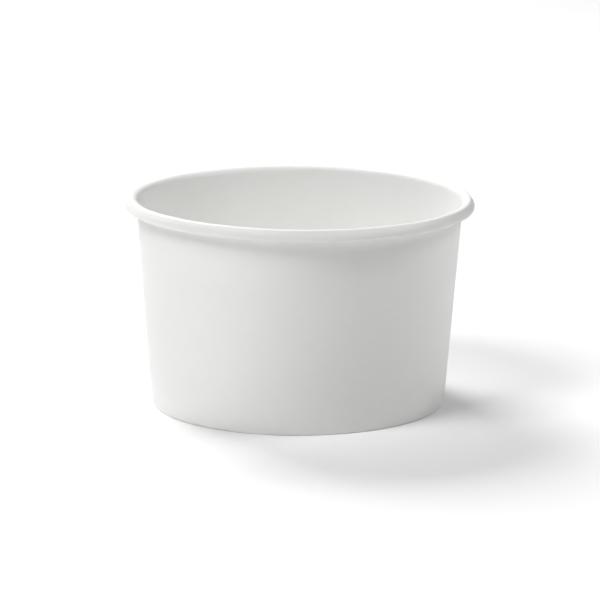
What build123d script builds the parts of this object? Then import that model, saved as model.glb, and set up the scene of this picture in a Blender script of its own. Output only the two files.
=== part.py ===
from build123d import *
import os
from math import atan, cos, degrees, pi, radians, sin, tan

# Paper sundae cup: one rolled, seamed and hemmed paperboard wall, and the pressed
# disc that its hem holds. Millimetres, +Z up, origin on the table under the axis.

# The cup's overall sizes
rim_diameter = 96.0  # over the rolled rim, at its widest
foot_diameter = 81.0  # outside of the wall, carried down to the table
cup_height = 57.5

# The two boards, and the film of coating that seals one ply to the next
wall_board = 0.36
base_board = 0.30
seal_film = 0.03

# The rolled rim, measured on its outer skin
rim_overhang = 3.28  # widest point of the rim, outside the wall just below it
rim_depth = 3.0  # top of the rim to its underside
rim_shoulder = 1.13  # where the sloping flank starts, in from the widest point
rim_level = 0.15  # width of the level top
flank_angle = 55.0  # the flank's fall, below level
flank_upright = 0.05  # straight run between the flank's bend and the lip
shoulder_radius = 0.8
lip_radius = 0.45  # lower outer corner
tail_radius = 0.55  # where the board turns up inside the roll
tail_length = 1.1  # from the underside to the board's hidden edge
tail_gap = 0.1  # between that tail and the seam's outer ply

# The base: the disc's height, its skirt, and the wall's folded hem
base_recess = 8.5  # table to the underside of the disc
disc_bend = 1.0  # outer radius of the bend into the skirt
skirt_clearance = 0.25  # skirt's edge above the inside of the fold
hem_clearance = 0.8  # hem's edge below the disc's bend
fold_radius = 0.05  # inside the fold

# The side seam: the outer ply climbs onto the inner one and ends in a cut edge
seam_bearing = 178.0  # of the inner ply's edge, in degrees anticlockwise from +X
seam_overlap = 7.0
seam_ramp = 3.5
seam_foot = 1.2  # the outer ply is trimmed above the fold, so that the cup stands flat
step_clearance = 0.7  # from the disc up to the inner ply's free edge

# The ramp's sections, as shares of one board's thickness. The first lies just
# under the wall's face, so that the ramp leaves it at a clear angle
ramp_climbs = (-0.2, 0.4, 1)

# Worked out from those sizes
rim_radius = rim_diameter / 2
foot_radius = foot_diameter / 2
neck_height = cup_height - rim_depth
neck_radius = rim_radius - rim_overhang
wall_slope = (neck_radius - foot_radius) / neck_height
wall_lean = atan(wall_slope)

mid_ply = wall_board / 2
skirt_depth = wall_board + seal_film
hem_depth = skirt_depth + base_board + seal_film
tail_depth = -(wall_board + tail_gap)
disc_top = base_recess + base_board
skirt_foot = wall_board + skirt_clearance
hem_height = disc_top - disc_bend - hem_clearance
step_foot = disc_top + step_clearance

mid_wall_radius = (foot_radius + neck_radius) / 2
seam_angle = degrees(seam_overlap / mid_wall_radius)
ramp_angle = degrees(seam_ramp / mid_wall_radius)


def on_wall(height, depth):
    """A point of the section at a height, this deep inside the wall's outer face."""
    return foot_radius + height * wall_slope - depth / cos(wall_lean), height


def section_plane(bearing):
    """The upright plane at a bearing: local x is the radius and local y is up."""
    turn = radians(bearing)
    return Plane(
        origin=(0, 0, 0),
        x_dir=(cos(turn), sin(turn), 0),
        z_dir=(sin(turn), -cos(turn), 0),
    )


def ramp_plane(climb):
    """The section plane where the board has climbed by this share of its thickness."""
    return section_plane(seam_bearing + ramp_angle * (1 - climb))


# The rim's outline, as corners and the radii that round them. The throat takes
# what the level top leaves it, and the flank what the lip leaves it
flank_fall = radians(flank_angle)
flank_top = (rim_radius - rim_shoulder, cup_height)
flank_foot = (rim_radius, cup_height - rim_shoulder * tan(flank_fall))
lip_corner = (rim_radius, neck_height)
level_end = flank_top[0] - shoulder_radius * tan(flank_fall / 2)
throat_corner = on_wall(cup_height, wall_board)
throat_run = level_end - rim_level - throat_corner[0]
throat_radius = throat_run / tan((pi / 2 - wall_lean) / 2)
throat_height = cup_height - throat_radius
flank_run = flank_foot[1] - neck_height - lip_radius - flank_upright
flank_radius = flank_run / tan((pi / 2 - flank_fall) / 2)

with BuildPart() as side_wall:
    # The sheet as one section turned about the axis. Its skin line runs down the
    # hem, round the fold, up the inside of the wall, over the rim and back under
    # it, and the board lies on the outer side of that line
    with BuildSketch(Plane.XZ):
        with BuildLine():
            FilletPolyline(
                on_wall(hem_height, hem_depth),
                on_wall(wall_board, hem_depth),
                on_wall(wall_board, wall_board),
                throat_corner,
                flank_top,
                flank_foot,
                lip_corner,
                on_wall(neck_height, tail_depth),
                on_wall(neck_height + tail_length, tail_depth),
                radius=[
                    fold_radius,
                    fold_radius,
                    throat_radius,
                    shoulder_radius,
                    flank_radius,
                    lip_radius,
                    tail_radius,
                ],
            )
            offset(amount=wall_board, side=Side.LEFT)
        make_face()
    revolve(axis=Axis.Z)

    # The seam's outer ply, from its cut edge to the inner ply's. It lies against
    # the wall, runs on inside the roll and ends where the rim is level
    with BuildSketch(section_plane(seam_bearing - seam_angle)):
        with BuildLine():
            FilletPolyline(
                on_wall(seam_foot, mid_ply),
                on_wall(cup_height - mid_ply, mid_ply),
                (level_end, cup_height - mid_ply),
                radius=throat_radius - mid_ply,
            )
            offset(amount=wall_board + mid_ply, side=Side.RIGHT)
        make_face()
    revolve(axis=Axis.Z, revolution_arc=seam_angle)

    # The ramp, where the board climbs by its own thickness on the outside ...
    for climb in ramp_climbs:
        with BuildSketch(ramp_plane(climb)):
            with BuildLine():
                Polyline(
                    on_wall(seam_foot, mid_ply),
                    on_wall(seam_foot, -wall_board * climb),
                    on_wall(throat_height, -wall_board * climb),
                    on_wall(throat_height, mid_ply),
                    close=True,
                )
            make_face()
    loft(ruled=True)

    # ... and leaves the inner ply's edge standing free on the inside
    for climb in ramp_climbs:
        with BuildSketch(ramp_plane(climb)):
            with BuildLine():
                Polyline(
                    on_wall(step_foot, 2 * wall_board),
                    on_wall(step_foot, wall_board * (1 - climb)),
                    on_wall(throat_height, wall_board * (1 - climb)),
                    on_wall(throat_height, 2 * wall_board),
                    close=True,
                )
            make_face()
    loft(ruled=True, mode=Mode.SUBTRACT)

with BuildPart() as base_disc:
    # Half the disc and its skirt, turned about the axis
    with BuildSketch(Plane.XZ):
        with BuildLine():
            FilletPolyline(
                (0, disc_top),
                on_wall(disc_top, skirt_depth),
                on_wall(skirt_foot, skirt_depth),
                radius=disc_bend,
            )
            offset(amount=base_board, side=Side.RIGHT)
        make_face()
    revolve(axis=Axis.Z)

os.makedirs("parts", exist_ok=True)
side_wall.part.label = "side_wall"
export_step(side_wall.part, "parts/side_wall.step")
base_disc.part.label = "base_disc"
export_step(base_disc.part, "parts/base_disc.step")
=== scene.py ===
import math

import bmesh
import bpy
import numpy as np
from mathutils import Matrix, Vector


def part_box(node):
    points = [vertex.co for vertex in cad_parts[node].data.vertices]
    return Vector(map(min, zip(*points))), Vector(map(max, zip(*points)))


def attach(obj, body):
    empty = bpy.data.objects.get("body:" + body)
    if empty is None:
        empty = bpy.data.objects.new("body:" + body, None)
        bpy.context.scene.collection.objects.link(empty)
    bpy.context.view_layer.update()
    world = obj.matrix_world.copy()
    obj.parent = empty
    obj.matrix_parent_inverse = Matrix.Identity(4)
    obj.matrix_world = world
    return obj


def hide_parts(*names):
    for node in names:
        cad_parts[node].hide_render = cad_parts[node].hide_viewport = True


# A white paper sundae cup: a rolled, seamed and hemmed wall, and the pressed disc
# that its hem holds. Metres, +Z up, with the seam on the -X side.

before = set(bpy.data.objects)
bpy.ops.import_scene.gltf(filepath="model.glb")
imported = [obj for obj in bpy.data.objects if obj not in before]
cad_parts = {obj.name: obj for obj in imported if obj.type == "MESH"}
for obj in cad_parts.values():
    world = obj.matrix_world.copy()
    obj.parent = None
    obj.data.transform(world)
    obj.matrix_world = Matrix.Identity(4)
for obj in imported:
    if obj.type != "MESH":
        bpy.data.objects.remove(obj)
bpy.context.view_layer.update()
MM = 0.001

# The frame's own sizes
WALL_LOW, WALL_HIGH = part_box("side_wall")
DISC_LOW, DISC_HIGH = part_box("base_disc")
RIM_RADIUS = (WALL_HIGH.x - WALL_LOW.x) / 2
CUP_HEIGHT = WALL_HIGH.z
DISC_TOP = DISC_HIGH.z
SKIRT_FOOT = DISC_LOW.z
SKIRT_RADIUS = (DISC_HIGH.x - DISC_LOW.x) / 2

# The boards and the coating that seals them
WALL_BOARD = 0.36 * MM
BASE_BOARD = 0.30 * MM
SEAL_FILM = 0.03 * MM
DISC_BEND = 1.0 * MM
HEM_CLEARANCE = 0.8 * MM
FOLD_RADIUS = 0.05 * MM

# The rolled rim's outer skin, from its shoulder to its tail
RIM_OVERHANG = 3.28 * MM
RIM_DEPTH = 3.0 * MM
RIM_SHOULDER = 1.13 * MM
RIM_LEVEL = 0.15 * MM
FLANK_FALL = math.radians(55)
FLANK_UPRIGHT = 0.05 * MM
SHOULDER_RADIUS = 0.8 * MM
LIP_RADIUS = 0.45 * MM
TAIL_RADIUS = 0.55 * MM
TAIL_LENGTH = 1.1 * MM
TAIL_GAP = 0.1 * MM

# The side seam: its bearing anticlockwise from +X, and its lengths round the wall
SEAM_BEARING = math.radians(178)
SEAM_OVERLAP = 7.0 * MM
SEAM_RAMP = 3.5 * MM
CUT_EDGE = 0.04 * MM
RIM_BUMP = 0.35  # share of the second ply that still shows on the roll

# Where the second ply and the roll's skin fade in or out, as heights from the line named
PLY_ABOVE_DISC = (0.4 * MM, 1.0 * MM)
PLY_ABOVE_NECK = (0.2 * MM, 0.9 * MM)
ROLL_ABOVE_NECK = (-0.2 * MM, 1.2 * MM)
ROLL_INSET = 0.17 * MM  # the roll's skin starts this far inside the neck's radius

# How far this soft cup is out of true at its rim
RIM_TILT = 0.28 * MM
RIM_SADDLE = 0.17 * MM
RIM_OVAL = 0.14 * MM
RIM_THREE_LOBES = 0.15 * MM
RIM_SHIFT = 0.34 * MM

# The rim's slow waver: its depth, then the waves round the rim, share and phase of each part
ROLL_WAVER = 0.035 * MM
WAVER_PARTS = ((5, 1.0, 0.7), (13, 0.7, 2.1), (31, 0.4, 0.4))

# The knurled hem. The marks fade out over these heights, above the table and below its top
KNURLS = 168
KNURL_DEPTH = 0.05 * MM
KNURL_FOOT = (1.0 * MM, 1.6 * MM)
KNURL_TOP = (1.2 * MM, 0.6 * MM)

# The disc's crown, and the puckers of its bend
DISC_CROWN = 0.5 * MM
PUCKERS = 84
PUCKER_DEPTH = 0.06 * MM
PUCKER_POWER = 3
PUCKER_LEVEL = 0.3  # share by which the board rises between the puckers
PUCKER_LIFT = 0.5  # how far the board sinks or rises, as a share of how far it moves in
PUCKER_RING = (4.0 * MM, 0.8 * MM)  # fade in over this ring, inside the skirt
PUCKER_DROP = 2.5 * MM  # fade out by this far below the disc's top

# How finely the sections and their turns are divided
WALL_STEPS = (2.4 * MM, 0.19 * MM)  # longest spacing on a run, and on an arc
DISC_STEPS = (1.6 * MM, 0.12 * MM)
LEAST_ARC_POINTS = 4
WALL_BEARINGS = 560
OVERLAP_BEARINGS = 12
RAMP_BEARINGS = 10
DISC_BEARINGS = 504
FACE_REACH = 0.02 * MM  # a point this near a face of the board lies on it
WELD_REACH = 0.0001 * MM  # points this near each other are one
SHARP_ANGLE = math.radians(50)

# The boards: their two tints, and how rough they are at the least
WALL_TINTS = ((0.885, 0.885, 0.87, 1), (0.915, 0.915, 0.905, 1))
BASE_TINTS = ((0.87, 0.87, 0.85, 1), (0.905, 0.905, 0.89, 1))
WALL_ROUGHNESS = 0.38
BASE_ROUGHNESS = 0.42

# The camera, aimed at the cup's middle
CAMERA_ELEVATION = math.radians(12.64)
CAMERA_DISTANCE = 1.0275
SENSOR = 36  # millimetres
LENS = 222.85  # millimetres
LENS_SHIFT = (0.0008, -0.0034)  # shares of the sensor
CLIP = (0.05, 50)

# The lights: degrees to the right of the front, degrees up, and watts
STUDIO = {
    "left_key": (-50, 50, 11.0),
    "back_left": (-150, 45, 15.3),
    "right_fill": (90, 50, 6.9),
}
LIGHT_DISTANCE = 1.4
LIGHT_SIZE = 0.6
FLOOR_REACH = 6.0

# Worked out from the sizes above
NECK_HEIGHT = CUP_HEIGHT - RIM_DEPTH
NECK_RADIUS = RIM_RADIUS - RIM_OVERHANG
BEND_HEIGHT = DISC_TOP - DISC_BEND
WALL_SLOPE = (NECK_RADIUS - SKIRT_RADIUS - WALL_BOARD - SEAL_FILM) / (
    NECK_HEIGHT - BEND_HEIGHT
)
WALL_LEAN = math.atan(WALL_SLOPE)
SKIRT_DEPTH = WALL_BOARD + SEAL_FILM
HEM_DEPTH = SKIRT_DEPTH + BASE_BOARD + SEAL_FILM
HEM_HEIGHT = DISC_TOP - DISC_BEND - HEM_CLEARANCE
MID_RADIUS = NECK_RADIUS - NECK_HEIGHT / 2 * WALL_SLOPE
RAMP_ANGLE = SEAM_RAMP / MID_RADIUS
OVERLAP_ANGLE = SEAM_OVERLAP / MID_RADIUS
EDGE_ANGLE = CUT_EDGE / MID_RADIUS


# ------------------------------------------------------------------ outlines


def on_wall(height, depth):
    """A point of the section at a height, this deep inside the wall's outer face."""
    radius = NECK_RADIUS + (height - NECK_HEIGHT) * WALL_SLOPE
    return np.array([radius - depth / math.cos(WALL_LEAN), height])


def rounded_line(corners, radii, step):
    """Points along straight runs joined by tangent arcs.

    Each arc leaves its corner by radius * tan(half the turn) on both sides, and its
    points go round the centre that lies a radius away, square to the first run.
    step gives the longest spacing on the runs and on the arcs.
    """
    corners = np.array(corners, float)
    run = np.diff(corners, axis=0)
    run /= np.linalg.norm(run, axis=1)[:, None]
    stretches, last = [], corners[0]
    for corner, before, after, radius in zip(corners[1:-1], run, run[1:], radii):
        turn = math.atan2(before[0] * after[1] - before[1] * after[0], before @ after)
        start = corner - before * radius * math.tan(abs(turn) / 2)
        stretches.append(straight(last, start, step[0]))
        out = np.array([-before[1], before[0]]) * math.copysign(1, turn)
        count = max(LEAST_ARC_POINTS, int(abs(turn) * radius / step[1]) + 2)
        angle = np.linspace(0, abs(turn), count)[:, None]
        arc = start + radius * (np.sin(angle) * before + (1 - np.cos(angle)) * out)
        stretches.append(arc[:-1])
        last = arc[-1]
    stretches.append(straight(last, corners[-1], step[0]))
    return np.vstack(stretches + [corners[-1:]])


def straight(start, end, step):
    """Evenly spaced points from start up to, but not including, end."""
    count = max(1, int(np.linalg.norm(end - start) / step) + 1)
    share = np.arange(count)[:, None] / count
    return start + (end - start) * share


def line_normals(points):
    """Unit normals to the left of a line of points, from the mean of the runs beside each."""
    run = np.gradient(points, axis=0)
    run /= np.linalg.norm(run, axis=1)[:, None]
    return np.stack([-run[:, 1], run[:, 0]], 1)


def board_loop(skin, thickness):
    """A closed outline of a board: along its skin, and back at the thickness beside it.

    The board lies to the right of the skin line. Returns the points and, for each,
    how far through the board it lies (0 or 1).
    """
    back = skin - line_normals(skin) * thickness
    through = np.concatenate([np.zeros(len(skin)), np.ones(len(back))])
    return np.vstack([skin, back[::-1]]), through


def wall_skin():
    """The wall's skin line: down the hem, round the fold, up the inside and over the rim."""
    flank_top = np.array([RIM_RADIUS - RIM_SHOULDER, CUP_HEIGHT])
    flank_foot = [RIM_RADIUS, CUP_HEIGHT - RIM_SHOULDER * math.tan(FLANK_FALL)]
    throat_corner = on_wall(CUP_HEIGHT, WALL_BOARD)
    level_end = flank_top[0] - SHOULDER_RADIUS * math.tan(FLANK_FALL / 2)
    throat_run = level_end - RIM_LEVEL - throat_corner[0]
    throat_radius = throat_run / math.tan((math.pi / 2 - WALL_LEAN) / 2)
    flank_run = flank_foot[1] - NECK_HEIGHT - LIP_RADIUS - FLANK_UPRIGHT
    flank_radius = flank_run / math.tan((math.pi / 2 - FLANK_FALL) / 2)
    tail_depth = -(WALL_BOARD + TAIL_GAP)
    corners = [
        on_wall(HEM_HEIGHT, HEM_DEPTH),
        on_wall(WALL_BOARD, HEM_DEPTH),
        on_wall(WALL_BOARD, WALL_BOARD),
        throat_corner,
        flank_top,
        flank_foot,
        [RIM_RADIUS, NECK_HEIGHT],
        on_wall(NECK_HEIGHT, tail_depth),
        on_wall(NECK_HEIGHT + TAIL_LENGTH, tail_depth),
    ]
    radii = [
        FOLD_RADIUS,
        FOLD_RADIUS,
        throat_radius,
        SHOULDER_RADIUS,
        flank_radius,
        LIP_RADIUS,
        TAIL_RADIUS,
    ]
    return rounded_line(corners, radii, WALL_STEPS)


# -------------------------------------------------------------------- meshes


def smooth_step(low, high, value):
    """0 below low, 1 above high, and a smooth cubic between them."""
    share = np.clip((value - low) / (high - low), 0, 1)
    return share * share * (3 - 2 * share)


def fade(line, reach, height):
    """A smooth step in height, over a reach given from a line."""
    return smooth_step(line + reach[0], line + reach[1], height)


def turned(radius, height, bearing):
    """Points[bearing, outline, xyz] from each one's radius and height, turned about Z."""
    return np.stack(
        [radius * np.cos(bearing)[:, None], radius * np.sin(bearing)[:, None], height], -1
    )


def ring_piece(name, points, poles=False):
    """A closed, smooth-shaded object from points[bearing, outline, xyz].

    Quads join each outline point to the next, and each bearing to the next; the
    last of each joins the first. With poles, the outline starts and ends on the
    axis instead, and the points that meet there are merged into one at each end.
    Faces are turned outwards, and cut edges stay crisp.
    """
    turns, around = points.shape[:2]
    index = np.arange(turns * around).reshape(turns, around)
    right = np.roll(index, -1, axis=0)
    quads = np.stack(
        [index, right, np.roll(right, -1, axis=1), np.roll(index, -1, axis=1)], -1
    )
    quads = quads[:, :-1] if poles else quads
    mesh = bpy.data.meshes.new(name)
    mesh.from_pydata(points.reshape(-1, 3), [], quads.reshape(-1, 4))
    work = bmesh.new()
    work.from_mesh(mesh)
    if poles:
        bmesh.ops.remove_doubles(work, verts=work.verts, dist=WELD_REACH)
    bmesh.ops.recalc_face_normals(work, faces=work.faces)
    work.to_mesh(mesh)
    work.free()
    mesh.polygons.foreach_set("use_smooth", np.ones(len(mesh.polygons), bool))
    mesh.set_sharp_from_angle(angle=SHARP_ANGLE)
    piece = bpy.data.objects.new(name, mesh)
    bpy.context.scene.collection.objects.link(piece)
    return piece


def out_of_true(points):
    """Bends a true cup as the soft one is: a little at the foot, most at the rim.

    With b the bearing and s the height's share of the cup, the radius grows by
    s * (lobes * cos 3b - oval * sin 2b), the height by s^2 * (saddle * sin 2b -
    tilt * cos b), and the whole section slides along X by shift * (s - 1). On the
    disc the first two fade out towards the axis.
    """
    x, y, z = points[..., 0], points[..., 1], points[..., 2]
    bearing = np.arctan2(y, x)
    share = np.clip(z / CUP_HEIGHT, 0, 1)
    reach = np.clip(2 * np.hypot(x, y) / SKIRT_RADIUS, 0, 1)
    grow = reach * share * (
        -RIM_OVAL * np.sin(2 * bearing) + RIM_THREE_LOBES * np.cos(3 * bearing)
    )
    lift = reach * share**2 * (
        -RIM_TILT * np.cos(bearing) + RIM_SADDLE * np.sin(2 * bearing)
    )
    points[..., 0] = x + grow * np.cos(bearing) - RIM_SHIFT * (1 - share)
    points[..., 1] = y + grow * np.sin(bearing)
    points[..., 2] = z + lift
    return points


def seam_bearings():
    """Bearings all the way round, closer together at the seam's ramp and edges."""
    inner, outer = SEAM_BEARING, SEAM_BEARING - OVERLAP_ANGLE
    ramp_end, last = inner + RAMP_ANGLE, outer - EDGE_ANGLE + math.tau
    return np.concatenate(
        [
            np.linspace(outer, inner - EDGE_ANGLE, OVERLAP_BEARINGS, endpoint=False),
            [inner - EDGE_ANGLE, inner],
            np.linspace(inner, ramp_end, RAMP_BEARINGS, endpoint=False)[1:],
            np.linspace(ramp_end, last, WALL_BEARINGS, endpoint=False),
            [last],
        ]
    )


def make_side_wall():
    """The wall as one sheet: its board outline turned about Z and shifted at the seam.

    For each bearing b the sheet climbs by c(b), from 0 to one board over the ramp.
    The outer face keeps that climb over the overlap and drops at its cut edge. The
    inner face drops at the inner ply's edge, where the ramp ends. The outer face
    climbs above the hem only and the inner face above the disc, both up to the neck.
    """
    outline, through = board_loop(wall_skin(), WALL_BOARD)
    bearing = seam_bearings()
    radius, height = outline.T
    depth = (on_wall(height, 0)[0] - radius) * math.cos(WALL_LEAN)
    skin, back = through == 0, through == 1

    past = bearing - SEAM_BEARING
    past = np.where(past > math.pi, past - math.tau, past)
    inner_edge, outer_edge = -EDGE_ANGLE / 2, -EDGE_ANGLE / 2 - OVERLAP_ANGLE
    climbing = np.where(past > inner_edge, 1 - np.clip(past / RAMP_ANGLE, 0, 1), 0)
    lying = np.where((past <= inner_edge) & (past > outer_edge), 1.0, 0)

    below_roll = 1 - fade(NECK_HEIGHT, PLY_ABOVE_NECK, height)
    outer_face = below_roll * (back & (np.abs(depth) < FACE_REACH) & (height > HEM_HEIGHT))
    inner_face = below_roll * fade(DISC_TOP, PLY_ABOVE_DISC, height)
    inner_face = inner_face * (skin & (np.abs(depth - WALL_BOARD) < FACE_REACH))
    shift = WALL_BOARD * (
        np.outer(climbing + lying, outer_face) + np.outer(climbing, inner_face)
    )

    # On the roll the second ply only shows as a low swelling, and the whole roll wavers
    on_roll = skin & (radius > NECK_RADIUS - ROLL_INSET)
    roll = fade(NECK_HEIGHT, ROLL_ABOVE_NECK, height) * on_roll
    swelling = np.outer(lying + climbing, roll) * WALL_BOARD * RIM_BUMP
    wave = sum(share * np.sin(waves * bearing + phase) for waves, share, phase in WAVER_PARTS)
    away = swelling + ROLL_WAVER * np.outer(wave, roll)

    # The knurling wheel's marks on the hem's inner face
    band = smooth_step(*KNURL_FOOT, height) * (
        1 - smooth_step(HEM_HEIGHT - KNURL_TOP[0], HEM_HEIGHT - KNURL_TOP[1], height)
    )
    pressed = band * (back & (depth > HEM_DEPTH))
    knurl = KNURL_DEPTH * np.outer(0.5 - 0.5 * np.cos(KNURLS * bearing), pressed)

    normal = line_normals(outline)
    points = turned(
        radius + shift + knurl + away * normal[:, 0], height + away * normal[:, 1], bearing
    )
    return ring_piece("paper_wall", out_of_true(points))


def make_base_disc():
    """The disc and skirt as one board, turned about Z, with a closed middle.

    The skin line runs from the axis out to the bend and down the skirt. The middle
    crowns up by crown * (1 - (r / R)^2)^2. Round the bend the board moves in, and
    down and up, by a wave that is sharp at each pucker and flat between them.
    """
    skin = rounded_line(
        [(0, DISC_TOP), on_wall(DISC_TOP, SKIRT_DEPTH), on_wall(SKIRT_FOOT, SKIRT_DEPTH)],
        [DISC_BEND],
        DISC_STEPS,
    )
    outline, _ = board_loop(skin, BASE_BOARD)
    bearing = np.linspace(0, math.tau, DISC_BEARINGS, endpoint=False)
    radius, height = outline.T
    share = np.clip(radius / (SKIRT_RADIUS - 2 * DISC_BEND), 0, 1)
    crown = DISC_CROWN * (1 - share**2) ** 2
    bent = smooth_step(SKIRT_RADIUS - PUCKER_RING[0], SKIRT_RADIUS - PUCKER_RING[1], radius)
    on_top = bent * smooth_step(DISC_TOP - PUCKER_DROP, DISC_TOP - BASE_BOARD, height)
    wave = np.abs(np.sin(PUCKERS / 2 * bearing)) ** PUCKER_POWER - PUCKER_LEVEL
    pucker = PUCKER_DEPTH * np.outer(wave, on_top)
    points = turned(radius - np.abs(pucker), height + crown - pucker * PUCKER_LIFT, bearing)
    return ring_piece("paper_base", out_of_true(points), poles=True)


# ----------------------------------------------------------------- materials


# A Mix node's colour sockets, whose names its number and vector sockets share
MIX_LOW, MIX_HIGH, MIX_RESULT = 6, 7, 2


class Wire:
    """One socket of a node tree, with Python's operators adding Math nodes."""

    def __init__(self, paint, socket):
        self.paint, self.socket = paint, socket

    def math(self, operation, *others):
        return self.paint.node("ShaderNodeMath", {"operation": operation}, self, *others)

    def __add__(self, other):
        return self.math("ADD", other)

    def __radd__(self, other):
        return self.math("ADD", other)

    def __mul__(self, other):
        return self.math("MULTIPLY", other)

    def __rmul__(self, other):
        return self.math("MULTIPLY", other)


class Paint:
    """A material and the one way that its nodes are added."""

    def __init__(self, name):
        self.material = bpy.data.materials.new(name)
        self.material.use_nodes = True
        self.tree = self.material.node_tree
        self.shader = self.tree.nodes["Principled BSDF"]

    def node(self, kind, settings, *values, out=0, **named):
        """Adds a node, sets it up, fills its sockets in order or by name, and gives an output."""
        made = self.tree.nodes.new(kind)
        for key, value in settings.items():
            setattr(made, key, value)
        for key, value in list(enumerate(values)) + list(named.items()):
            socket = made.inputs[key if isinstance(key, int) else key.replace("_", " ")]
            self.feed(socket, value)
        return Wire(self, made.outputs[out])

    def feed(self, socket, value):
        """Links a wire to a socket, or sets its value."""
        if isinstance(value, Wire):
            self.tree.links.new(value.socket, socket)
        else:
            socket.default_value = value

    def blend(self, share, low, high):
        """A colour between two, by a share."""
        made = self.tree.nodes.new("ShaderNodeMix")
        made.data_type = "RGBA"
        self.feed(made.inputs["Factor"], share)
        self.feed(made.inputs[MIX_LOW], low)
        self.feed(made.inputs[MIX_HIGH], high)
        return Wire(self, made.outputs[MIX_RESULT])

    def noise(self, place, scale, detail, roughness):
        """A cloudy pattern, from 0 to 1, with about this many blobs to the metre."""
        return self.node(
            "ShaderNodeTexNoise", {}, Vector=place, Scale=scale, Detail=detail, Roughness=roughness
        )


def coated_board(name, tints, roughness):
    """White coated paperboard: cloudy formation, fine fibres and a soft satin coat.

    The clouds tint the board between two near-whites. The bump adds three layers:
    clouds a few millimetres across, fibres under a millimetre, and faint streaks
    drawn out up the wall by the board's grain.
    """
    paint = Paint(name)
    place = paint.node("ShaderNodeTexCoord", {}, out="Object")
    grain = paint.node("ShaderNodeMapping", {}, Vector=place, Scale=(1.0, 1.0, 0.06))
    clouds = paint.noise(place, scale=420.0, detail=3.0, roughness=0.55)
    fibres = paint.noise(place, scale=1900.0, detail=2.0, roughness=0.6)
    streaks = paint.noise(grain, scale=900.0, detail=2.0, roughness=0.5)
    height = clouds * 0.5 + fibres * 0.3 + streaks * 0.35
    bump = paint.node("ShaderNodeBump", {}, Height=height, Strength=0.22, Distance=0.05 * MM)
    sockets = {
        "Base Color": paint.blend(clouds, *tints),
        "Roughness": clouds * 0.12 + roughness + fibres * 0.06,
        "Normal": bump,
        "IOR": 1.48,
        "Specular IOR Level": 0.4,
    }
    for socket, value in sockets.items():
        paint.feed(paint.shader.inputs[socket], value)
    return paint.material


# ---------------------------------------------------------------------- scene


def add_area(name, place, aim, size, watts):
    """A soft square light at a place, turned towards a point."""
    data = bpy.data.lights.new(name, "AREA")
    data.shape, data.size, data.energy = "SQUARE", size, watts
    lamp = bpy.data.objects.new(name, data)
    bpy.context.scene.collection.objects.link(lamp)
    lamp.location = place
    lamp.rotation_euler = (Vector(aim) - Vector(place)).to_track_quat("-Z", "Y").to_euler()


def studio_place(bearing, elevation, distance):
    """A place this far off, turned this many degrees to the right of the front and up."""
    turn, rise = math.radians(bearing), math.radians(elevation)
    across = math.cos(rise)
    direction = Vector((math.sin(turn) * across, -math.cos(turn) * across, math.sin(rise)))
    return direction * distance


def make_camera():
    """A long lens, a metre off and about thirteen degrees above the cup's middle."""
    middle = Vector((0, 0, CUP_HEIGHT / 2))
    toward = Vector((0, -math.cos(CAMERA_ELEVATION), math.sin(CAMERA_ELEVATION)))
    data = bpy.data.cameras.new("camera")
    data.sensor_width, data.lens = SENSOR, LENS
    data.shift_x, data.shift_y = LENS_SHIFT
    data.clip_start, data.clip_end = CLIP
    camera = bpy.data.objects.new("camera", data)
    bpy.context.scene.collection.objects.link(camera)
    camera.location = middle + toward * CAMERA_DISTANCE
    camera.rotation_euler = (-toward).to_track_quat("-Z", "Y").to_euler()
    bpy.context.scene.camera = camera


def make_floor():
    """A wide, plain, pale floor."""
    mesh = bpy.data.meshes.new("floor")
    corners = [(x * FLOOR_REACH, y * FLOOR_REACH, 0) for x, y in ((-1, -1), (1, -1), (1, 1), (-1, 1))]
    mesh.from_pydata(corners, [], [(0, 1, 2, 3)])
    floor = bpy.data.objects.new("floor", mesh)
    bpy.context.scene.collection.objects.link(floor)
    paint = Paint("floor_white")
    paint.shader.inputs["Base Color"].default_value = (0.92, 0.92, 0.92, 1)
    paint.shader.inputs["Roughness"].default_value = 0.9
    paint.shader.inputs["Specular IOR Level"].default_value = 0.1
    mesh.materials.append(paint.material)


def make_lights():
    """Soft lights at the front left, behind on the left and on the right, in a dark room."""
    world = bpy.data.worlds.new("room")
    world.use_nodes = True
    world.node_tree.nodes["Background"].inputs["Strength"].default_value = 0
    bpy.context.scene.world = world
    middle = (0, 0, CUP_HEIGHT / 2)
    for name, (bearing, elevation, watts) in STUDIO.items():
        place = studio_place(bearing, elevation, LIGHT_DISTANCE)
        add_area(name, place, middle, LIGHT_SIZE, watts)


make_camera()
make_floor()
make_lights()
bpy.context.scene.view_settings.view_transform = "Standard"

wall = make_side_wall()
wall.data.materials.append(coated_board("wall_board_white", WALL_TINTS, WALL_ROUGHNESS))
base = make_base_disc()
base.data.materials.append(coated_board("base_board_white", BASE_TINTS, BASE_ROUGHNESS))
for piece, node, slot in (
    (wall, "side_wall", "wall_board"),
    (base, "base_disc", "base_board"),
):
    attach(piece, "root")
    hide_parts(node)
